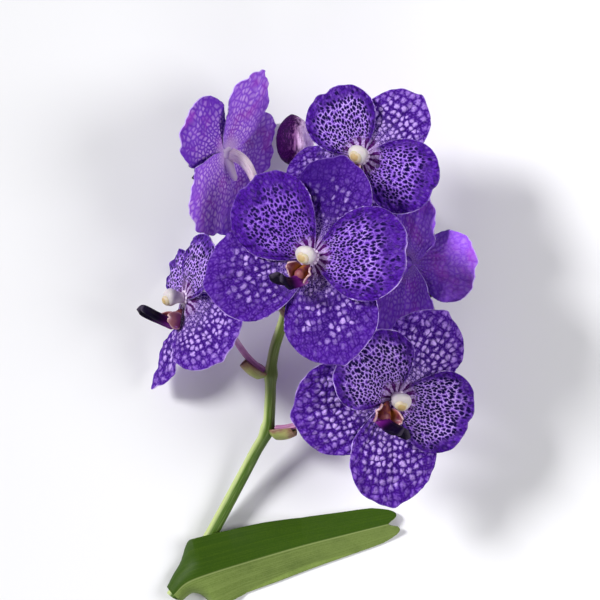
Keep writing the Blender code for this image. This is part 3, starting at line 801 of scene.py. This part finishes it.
lipPlan = {
    "root": [(0, -4.0, 1.5, 0.9), (0, -4.1, 2.2, 1.2), (0, -6.2, 3.6, 2.1), (0, -8.6, 4.8, 2.8),
             (0, -10.0, 6.6, 2.6), (0, -10.6, 8.0, 1.2)],
    "midlobe": [(0, -9.4, 4.0), (0, -12.4, 8.6), (0, -14.0, 13.5), (0, -14.0, 18.6), (0, -12.6, 23.5)],
    "hinge": (0, -9.4, 4.5), "throat": (0, -5.0, 2.0),
    "midlobeHalf": ([0, 0.2, 0.4, 0.62, 0.78, 0.9, 0.97, 1.0], [3.6, 3.2, 3.1, 4.4, 5.2, 4.8, 3.6, 2.2]),
    "midlobeWall": 1.9, "earWall": 0.8,
    "usual": {"length": 1.0, "size": 1.0, "arch": 1.0, "move": (0.0, 0.0, 0.0), "raise": 0, "swing": 0},
}


def lipFinish():
    # purple at its base, near black towards the tip, with pale streaks at the very base
    skin = Skin("lipFace", 0.5, specular=0.06)
    side, along = skin.blade()
    streak = noise(point(side * 6.0, along * 1.2))
    skin.colour = blend(along.ramp(0.05, 0.62), (0.15, 0.008, 0.21), (0.004, 0.001, 0.014))
    skin.layer(along.fall(0.0, 0.30) * streak.ramp(0.4, 0.65) * 0.75, (0.55, 0.22, 0.48))
    skin.layer(along.ramp(0.955, 1.0) * 0.15, (0.30, 0.24, 0.36))
    return skin.close(skin.grain(900.0) * 0.4 + streak, 0.0003, 0.4)


def earFinish(name, low, high, edgeTone):
    skin = Skin(name, 0.4, coat=0.2)
    side, along = skin.blade()
    fine = skin.grain(700.0)
    skin.colour = blend((along + fine.sway(0.4)).ramp(0.1, 0.8), low, high)
    skin.layer(side.abs().high(along).ramp(0.72, 0.98) * 0.85, edgeTone)
    return skin.close(fine, 0.0003, 0.3)


def earRimFinish():
    skin = Skin("lobeRim", 0.4)
    wide = skin.grain(900.0, 3.0)
    skin.colour = blend(wide.ramp(0.35, 0.65), (0.58, 0.34, 0.38), (0.68, 0.46, 0.48))
    return skin.close(skin.grain(5400.0) + wide * 0.5, 0.0003, 0.3)


lipFace = lipFinish()
rootWax = waxFinish("rootWax", (0.14, 0.02, 0.05), (0.36, 0.12, 0.02), (0.10, 0.008, 0.06),
                    (0.30, 0.08, 0.10))
earInside = earFinish("lobeInside", (0.36, 0.11, 0.008), (0.11, 0.008, 0.03), (0.40, 0.14, 0.17))
earOutside = earFinish("lobeOutside", (0.16, 0.015, 0.09), (0.42, 0.15, 0.13), (0.60, 0.31, 0.32))
earRim = earRimFinish()


def midlobePlace(length, arch):
    steps = 60
    route = smoothRoute(lipPlan["midlobe"], steps + 1)
    straight = np.linspace(route[0], route[-1], steps + 1)
    route = straight + (route - straight) * arch

    def place(across, along):
        side = 2 * across - 1
        reach = steps * length * along * (1 - 0.11 * exp(-(side / 0.26) ** 2) * along)
        ahead = route[min(int(reach) + 1, steps)] - route[max(int(reach) - 1, 0)]
        up = np.array([0.0, ahead[2], -ahead[1]]) / hypot(ahead[1], ahead[2])
        half = np.interp(along, *lipPlan["midlobeHalf"])
        ridges = 0.45 * (exp(-((abs(side) - 0.38) / 0.13) ** 2) + exp(-(side / 0.10) ** 2))
        ridges *= sin(pi * along) ** 0.5 if along < 1 else 0.0
        return (spotsOn(route, reach) + np.array([1.0, 0.0, 0.0]) * half * side
                + up * (ridges - 3.0 * abs(side) ** 1.7))
    return place


def earPlace(side):
    def place(across, along):
        spread = sqrt(1 - (0.93 * along) ** 2.2) * (0.82 + 0.18 * sin(pi * along))
        middle = -8.9 + (across - 0.5) * 8.8 * spread + 1.2 * along ** 2
        curl = sin(pi * across) * along
        out = 2.3 + 2.2 * along ** 0.8 + 1.0 * curl + 0.9 * along ** 4
        return np.array([side * out, middle, 3.0 + 7.2 * along + 0.5 * sin(9 * across) * along ** 3])
    return place


def about(spot, matrix):
    spot = Vector(spot) * mm
    return Matrix.Translation(spot) @ matrix @ Matrix.Translation(-spot)


def addLip(name, plan):
    own = {**lipPlan["usual"], **plan.get("lip", {})}
    root = ringBody("lipRoot", smoothRoute(lipPlan["root"], 20), 20, rootWax)
    midlobe = gridMesh("midlobe", 28, 40, midlobePlace(own["length"], own["arch"]), lipFace)
    midlobe = giveWall(midlobe, lipPlan["midlobeWall"], [lipFace] * 3)
    moveMesh(midlobe, about(lipPlan["hinge"], turned(own["swing"], "Y") @ turned(-own["raise"], "X")), -1.0)
    pieces = [midlobe, root]
    for side in (-1, 1):
        ear = gridMesh("ear", 18, 18, earPlace(side), earInside)
        if side > 0:
            ear.data.flip_normals()
        pieces.append(giveWall(ear, lipPlan["earWall"], [earInside, earOutside, earRim]))
    grow = about(lipPlan["throat"], Matrix.Scale(own["size"], 4))
    for piece in pieces:
        moveMesh(piece, bloomMatrix(plan) @ Matrix.Translation(Vector(own["move"]) * mm) @ grow)
    return joinPieces(name + "Lip", pieces)


for name, plan in bloomPlans.items():
    finishPiece(addLip(name, plan), "lip", solidNames[name] + "_bloom_lip")
print("lips made")


stemPlan = {
    "route": [(-70.5, -139.5, 3.6), (-60.5, -124.0, 3.8), (-50.2, -106.8, 5.2), (-34.9, -78.3, 11.0),
              (-26.3, -61.9, 16.0), (-20.3, -50.5, 20.0), (-18.8, -36.9, 24.2), (-18.3, -21.5, 29.0),
              (-17.5, -14.0, 31.0), (-16.2, -7.4, 32.8), (-14.0, -0.3, 34.5), (-11.4, 7.8, 36.5),
              (-9.9, 18.0, 39.0), (-10.4, 36.3, 42.0), (-12.0, 53.5, 44.0), (-9.8, 67.6, 45.0),
              (-7.5, 78.5, 45.0)],
    "footRadius": 3.6, "tipRadius": 2.2, "swelling": 0.9, "gap": 0.3,
    "tipSizes": (0.55, 0.82, 0.95),  # the last rings, from the tip back
    "sunk": 1.5,  # how far a pedicel starts inside the stem's swelling
    "pedicelRadius": ([0, 0.06, 0.5, 0.8, 0.97, 1], [1.9, 1.5, 1.5, 2.2, 2.4, 2.5]),
    "bractLength": 15.0, "bractWidth": 10.0, "bractDepth": 5.2, "bractWall": 0.7,
}
stemRoute = np.array(stemPlan["route"])
pedicelPlans = {
    "front": {"node": 12, "leaves": (0.1, -0.5, 0.85), "seat": 0.5},
    "topRight": {"node": 15, "leaves": (0.85, 0.1, 0.1), "seat": 0.1},
    "topLeft": {"node": 14, "leaves": (-0.7, 0.6, 0.2), "seat": 1.2, "thick": 1.3},
    "left": {"node": 7, "leaves": (-0.85, 0.5, 0.15), "seat": 0.5},
    "lowRight": {"node": 5, "leaves": (0.9, 0.1, 0.4), "seat": 0.3},
    "backRight": {"node": 13, "leaves": (0.95, 0.1, 0.3), "seat": 0.0},
}
stalkInputs = {"steps": 90, "sides": 28, "ribs": 6.0, "ribDepth": 0.12, "turns": 0.5, "lumps": 0.1}


def stalkTree():
    # a ribbed round stalk along a curve, as thick as the curve's radius says
    tree, size = newTree("ribbedStalk", stalkInputs, True)
    rail = addNode(tree, "GeometryNodeResampleCurve", {"Curve": size.Geometry, "Count": size.steps})
    rail = store(rail, "along", addNode(tree, "GeometryNodeSplineParameter"))
    ring = addNode(tree, "GeometryNodeCurvePrimitiveCircle", {"Resolution": size.sides, "Radius": 1.0})
    ring = store(ring, "around", addNode(tree, "GeometryNodeSplineParameter"))
    mesh = addNode(tree, "GeometryNodeCurveToMesh", {
        "Curve": rail, "Profile Curve": ring, "Scale": addNode(tree, "GeometryNodeInputRadius"),
        "Fill Caps": True})
    around, along = [addNode(tree, "GeometryNodeInputNamedAttribute", {"Name": name}, data_type="FLOAT")
                     for name in ("around", "along")]
    turn = (around * size.ribs + along * size.turns * size.ribs) * (2 * pi)
    lumps = noise(addNode(tree, "GeometryNodeInputPosition"), 260.0, 1.0) - 0.5
    push = (turn.cos() * size.ribDepth + lumps * 2.0 * size.lumps) * mm
    normal = addNode(tree, "GeometryNodeInputNormal")
    shift = addNode(tree, "ShaderNodeVectorMath", {0: normal, "Scale": push}, operation="SCALE")
    mesh = addNode(tree, "GeometryNodeSetPosition", {"Geometry": mesh, "Offset": shift})
    closeTree(store(mesh, "stalkPlace", point(around, along), "FLOAT2", "CORNER"), size.finish)
    return tree


def addStalk(name, route, finish, **values):
    # route is (x, y, z, radius) in mm
    curve = bpy.data.curves.new(name, "CURVE")
    curve.dimensions = "3D"
    line = curve.splines.new("POLY")
    line.points.add(len(route) - 1)
    for corner, (x, y, z, radius) in zip(line.points, route):
        corner.co = (x * mm, y * mm, z * mm, 1.0)
        corner.radius = radius * mm
    return runTree(name, stalks, {**stalkInputs, **values, "finish": finish}, addObject(name, curve))


def stalkFinish(name, foot, head, streakAndHighlightTone, edge, streaks, litSide=0.0):
    skin = Skin(name, 0.42, specular=0.3, subsurface=0.1)
    around, along = skin.place("stalkPlace")
    wide = skin.grain(160.0)
    fine = noise(point(around * 30.0, along * 14.0))
    skin.colour = blend((along + wide.sway(0.35)).ramp(*edge), foot, head)
    # painted highlight: one side of the stalk, picked by the turn around it, takes the pale streak tone as if
    # lit from there; litSide sets how much
    lit = ((around - 0.57) * (2 * pi)).cos().ramp(0.55, 1.0)
    skin.layer((lit * litSide + fine.ramp(0.45, 0.75) * streaks).low(1.0), streakAndHighlightTone)
    return skin.close(fine + wide * 0.4, 0.0003, 0.45)


stalks = stalkTree()
pedicelSkin = stalkFinish("pedicelSkin", (0.42, 0.17, 0.32), (0.95, 0.80, 0.87), (0.50, 0.22, 0.42),
                          (0.15, 0.8), 0.5)
# the stem's pale side is a painted highlight (litSide=0.9); the pedicels have none
stemSkin = stalkFinish("stemSkin", (0.055, 0.12, 0.007), (0.10, 0.15, 0.022), (0.47, 0.55, 0.22),
                       (0.3, 0.7), 0.25, litSide=0.9)


def stemRadius(share):
    return stemPlan["footRadius"] + (stemPlan["tipRadius"] - stemPlan["footRadius"]) * share


def shifted(spot):
    return np.array(spot[:3]) + np.array(footprintShift)


def stemStalk():
    steps = 144
    spots = smoothRoute(stemRoute, steps + 1)
    spots[:, 2] = np.maximum(spots[:, 2], stemPlan["footRadius"])
    nodes = sorted({plan["node"] for plan in pedicelPlans.values()})
    route = []
    for i, spot in enumerate(spots):
        radius = stemRadius(i / steps)
        for node in nodes:
            near = np.linalg.norm(spot - stemRoute[node])
            radius += stemPlan["swelling"] * exp(-(near / 3.5) ** 2)
        route.append((*shifted(spot), radius))
    for k, size in enumerate(stemPlan["tipSizes"]):
        route[-1 - k] = (*route[-1 - k][:3], route[-1 - k][3] * size)
    return addStalk("stemStalk", route, stemSkin, steps=260, sides=36, ribs=9.0, ribDepth=0.07, turns=0.1)


def bractFinish():
    # yellow-green, brown at the tip and along the edge
    skin = Skin("bractSkin", 0.5)
    u, along = skin.place("bladeShare")
    wide = skin.grain(300.0, 3.0)
    fine = noise(point(u * 26.0, along * 3.0))
    skin.colour = blend((along + wide.sway(0.5)).ramp(0.25, 0.9), (0.24, 0.29, 0.07), (0.44, 0.42, 0.13))
    edge = u.sway(2.0).abs().high(along)
    skin.layer((edge + wide.sway(0.5)).ramp(0.62, 0.98) * 0.8, (0.19, 0.045, 0.055))
    skin.layer(fine.ramp(0.45, 0.7) * 0.3, (0.48, 0.46, 0.20))
    return skin.close(fine, 0.0004, 0.5)


bractSkin = bractFinish()


def addBract(name):
    plan = pedicelPlans[name]
    foot = shifted(stemRoute[plan["node"]])
    leaves = Vector(plan["leaves"]).normalized()
    down = Vector(shifted(stemRoute[plan["node"] - 1]) - foot).normalized()
    acrossWay = leaves.cross(down).normalized()
    below = acrossWay.cross(leaves).normalized()

    def place(across, along):
        side = 2 * across - 1
        widened = min(0.35 + 2.5 * along, 1.0)
        width = widened * stemPlan["bractWidth"] / 2 * sin(pi * (0.28 + 0.56 * along))
        depth = widened * stemPlan["bractDepth"] * sin(pi * (0.28 + 0.5 * along))
        crease = 0.35 * exp(-((across - 0.5) / 0.06) ** 2) * along
        out = leaves * (1.0 + stemPlan["bractLength"] * along * (1.0 - 0.10 * side ** 2 * along))
        return (Vector(foot) + out + acrossWay * width * sin(side * 1.75)
                + below * (0.3 + depth * cos(side * 1.75) + crease))

    return giveWall(gridMesh("bract", 24, 36, place, bractSkin), stemPlan["bractWall"], [bractSkin] * 3)


stemPieces = [stemStalk()] + [addBract(name) for name in pedicelPlans]
finishPiece(joinPieces("stemAndBracts", stemPieces), "stem", "stem")
print("stem made")


def addPedicel(name):
    plan, bloom = pedicelPlans[name], bloomPlans[name]
    matrix = bloomMatrix(bloom)
    end = np.array(matrix @ Vector((0, 0, (hubRoute[0][2] - stemPlan["gap"]) * mm))) / mm
    back = -np.array(matrix.to_3x3() @ Vector((0, 0, 1)))
    node = plan["node"]
    leaves = np.array(Vector(plan["leaves"]).normalized())
    along = stemRoute[node] - stemRoute[node - 1]
    slant = abs(np.dot(leaves, along)) / np.linalg.norm(along)
    radius = stemRadius(node / (len(stemRoute) - 1)) + stemPlan["swelling"]
    reach = radius + stemPlan["gap"] + 0.3 - plan["seat"] + 1.5 * slant
    start = shifted(stemRoute[node]) + leaves * (reach / sqrt(1 - slant ** 2) - stemPlan["sunk"])
    pull = np.linalg.norm(end - start) * 0.4
    a, b, c, d = start, start + leaves * pull, end + back * pull, end
    route = []
    for t in np.linspace(0, 1, 40):
        spot = (1 - t) ** 3 * a + 3 * t * (1 - t) ** 2 * b + 3 * t * t * (1 - t) * c + t ** 3 * d
        radius = np.interp(t, *stemPlan["pedicelRadius"]) * plan.get("thick", 1.0)
        route.append((*spot, radius))
    return addStalk(name + "Pedicel", route, pedicelSkin, steps=80, sides=30, ribDepth=0.20, turns=0.12,
                    lumps=0.08)


for name in pedicelPlans:
    finishPiece(addPedicel(name), "pedicel", solidNames[name] + "_bloom_pedicel")
print("pedicels made")


budPlan = {
    "base": (-4.5, 85.5, 41.5), "tip": (-7.5, 111.5, 42.0), "radius": 9.4,
    "sizes": ([0, 0.03, 0.08, 0.16, 0.30, 0.44, 0.58, 0.72, 0.84, 0.92, 0.97, 1.0],
              [0.20, 0.44, 0.66, 0.85, 0.99, 1.02, 0.99, 0.87, 0.66, 0.43, 0.24, 0.06]),
}


def budFinish():
    # dark magenta on the left, pinkish white on the right, streaked from base to tip
    skin = Skin("budSkin", 0.6, specular=0.06)
    x, y, z = [share * (1 / mm) for share in split(skin.spot())]
    streak = noise(point(x * 0.9, y * 0.12, z * 0.9), 1.0, 3.0)
    blotch = noise(point(x * 0.35, y * 0.35, z * 0.35))
    fine = noise(point(x * 2.6, y * 0.8, z * 2.6))
    light = x + 4.5 + streak.sway(12.0) + blotch.sway(5.0) - (y - 104.0).abs() * 0.2
    light = light.ramp(-3.4, 5.2)
    skin.colour = blend(light, (0.020, 0.0, 0.040), (0.52, 0.17, 0.56))
    skin.layer(light * (x + 5.0).ramp(-1.0, 5.0) * streak.ramp(0.25, 0.52), (0.98, 0.78, 1.0))
    skin.layer(fine.ramp(0.5, 0.72) * 0.3, (0.22, 0.03, 0.30))
    return skin.close(streak + fine * 0.4, 0.0005, 0.45)


def budShape(turn, share):
    # three sepals meet in three shallow seams
    return 1.0 - 0.045 * exp(-(sin(1.5 * (turn + 0.5)) / 0.16) ** 2) * sin(pi * share)


budSkin = budFinish()
base, tip = shifted(budPlan["base"]), shifted(budPlan["tip"])
budRoute = [(*(base + (tip - base) * share), budPlan["radius"] * np.interp(share, *budPlan["sizes"]))
            for share in np.linspace(0, 1, 60)]
finishPiece(ringBody("budBody", budRoute, 60, budSkin, budShape), "bud", "bud")

stemTip, stemBefore = shifted(stemRoute[-1]), shifted(stemRoute[-2])
ahead = (stemTip - stemBefore) / np.linalg.norm(stemTip - stemBefore)
axis = (tip - base) / np.linalg.norm(tip - base)
stalkRoute = smoothRoute([stemTip + ahead * 0.3, base - axis * 2.6, base + axis * 0.6], 16)
stalkRoute = [(*spot, radius) for spot, radius in zip(stalkRoute, np.linspace(1.3, 2.0, 16))]
finishPiece(addStalk("budStalk", stalkRoute, pedicelSkin, steps=30, sides=24, ribDepth=0.1),
            "pedicel", "bud_pedicel")
print("bud made")


leafPlan = {
    "keel": [(-69.5, -138.0, 9.4), (-62.5, -131.5, 10.4), (-50.0, -126.5, 10.8), (-30.0, -120.5, 9.0),
             (-3.3, -113.0, 7.0), (20.4, -107.0, 6.2), (49.0, -100.0, 5.2)],
    "half": ([0, 0.05, 0.09, 0.14, 0.45, 0.85, 1.0], [9.5, 16.0, 20.0, 20.5, 17.5, 12.0, 9.5]),
    "dropUpper": ([0, 0.06, 0.3, 0.6, 1.0], [0, 0, 2, 24, 30]),
    "dropLower": ([0, 0.06, 0.3, 0.6, 1.0], [0, 12, 30, 30, 30]),
    "hood": ([0, 0.07, 0.16], [0.2, 0.12, 0.0]), "wall": 1.0,
}


def leafFinish(name, upper, lower, veinTone):
    # fine veins from base to tip; one half catches the light and looks paler
    skin = Skin(name, 0.5, specular=0.12)
    side, along = skin.blade()
    veins = noise(point(side * 26.0, along * 1.4))
    fine = skin.grain(1300.0)
    skin.colour = blend(side.ramp(-0.06, 0.03), lower, upper)
    skin.layer((veins + fine.sway(0.6)).ramp(0.35, 0.75) * 0.40, veinTone)
    skin.layer(skin.grain(90.0, 3.0).ramp(0.45, 0.7) * 0.22, (0.02, 0.05, 0.005))
    skin.layer(side.bell(0.0, 0.02) * 0.5, (0.36, 0.42, 0.16))
    return skin.close(veins + fine * 0.25, 0.0004, 0.4)


leafTop = leafFinish("leafTop", (0.027, 0.066, 0.002), (0.19, 0.26, 0.065), (0.055, 0.105, 0.005))
leafUnder = leafFinish("leafUnder", (0.16, 0.22, 0.06), (0.18, 0.24, 0.07), (0.24, 0.30, 0.11))


def leafPlace(across, along):
    s = 2 * across - 1
    share = along * (1 - 0.045 * exp(-(s / 0.25) ** 2) - 0.10 * abs(s) ** 5)
    steps = len(leafKeel) - 1
    step = min(int(share * steps), steps - 1)
    ahead = (leafKeel[step + 1] - leafKeel[step]) * (1, 1, 0)
    sideWay = np.array([-ahead[1], ahead[0], 0.0]) / np.linalg.norm(ahead)
    drop = radians(np.interp(share, *leafPlan["dropUpper" if s > 0 else "dropLower"]))
    hood = np.interp(share, *leafPlan["hood"])
    reach = abs(s) * np.interp(share, *leafPlan["half"])
    if hood > 1e-3:
        flat = (sin(drop + hood * reach) - sin(drop)) / hood
        fall = (cos(drop) - cos(drop + hood * reach)) / hood
    else:
        flat, fall = reach * cos(drop), reach * sin(drop)
    wave = 0.5 * s ** 2 * sin(9 * along)
    spot = spotsOn(leafKeel, share * steps) + sideWay * copysign(flat, s) - np.array([0, 0, fall - wave])
    spot[2] = max(spot[2], leafPlan["wall"] / 2)
    return shifted(spot)


leafKeel = smoothRoute(leafPlan["keel"], 161)
leaf = gridMesh("leafBlade", 56, 150, leafPlace, leafTop)
leaf.data.flip_normals()
leaf = giveWall(leaf, leafPlan["wall"], [leafTop, leafUnder, leafUnder])
finishPiece(moveMesh(leaf, Matrix()), "leaf", "leaf")
print("leaf made")


studio = {
    "floor": 20.0, "floorTone": (0.80, 0.80, 0.82), "world": 0.14, "aim": (0, 0.02, 0.04),
    "lights": {  # a broad even sun, so that the floor stays pale far away too, and two soft lamps
        "keyLight": ("SUN", (-1.05, 0.6, 0.95), {"energy": 3.5, "angle": radians(15.0)}),
        "softLamp0": ("AREA", (0.95, 0.1, 1.0), {"energy": 10.0, "shape": "DISK", "size": 0.7}),
        "softLamp1": ("AREA", (0.1, -1.1, 0.8), {"energy": 4.5, "shape": "DISK", "size": 0.9}),
    },
}


def addFloor(spec):
    skin = Skin("studioFloor", 0.7)
    skin.colour = blend(skin.grain(3.0), spec["floorTone"], (0.78, 0.78, 0.80))
    bpy.ops.mesh.primitive_plane_add(size=spec["floor"], location=(0, 0, 0))
    floor = bpy.context.object
    floor.name = "studioFloor"
    floor.data.materials.append(skin.close())


def addLight(name, kind, place, settings):
    light = bpy.data.lights.new(name, kind)
    for key, value in settings.items():
        setattr(light, key, value)
    lamp = addObject(name, light)
    lamp.location = place
    lamp.rotation_euler = (Vector(studio["aim"]) - Vector(place)).to_track_quat("-Z", "Y").to_euler()


addFloor(studio)
for name, spec in studio["lights"].items():
    addLight(name, *spec)
world = bpy.data.worlds.new("studioWorld")
bpy.context.scene.world = world
world.use_nodes = True
sky = world.node_tree.nodes["Background"].inputs
sky["Color"].default_value = (1.0, 1.0, 1.0, 1.0)
sky["Strength"].default_value = studio["world"]
print("studio ready")
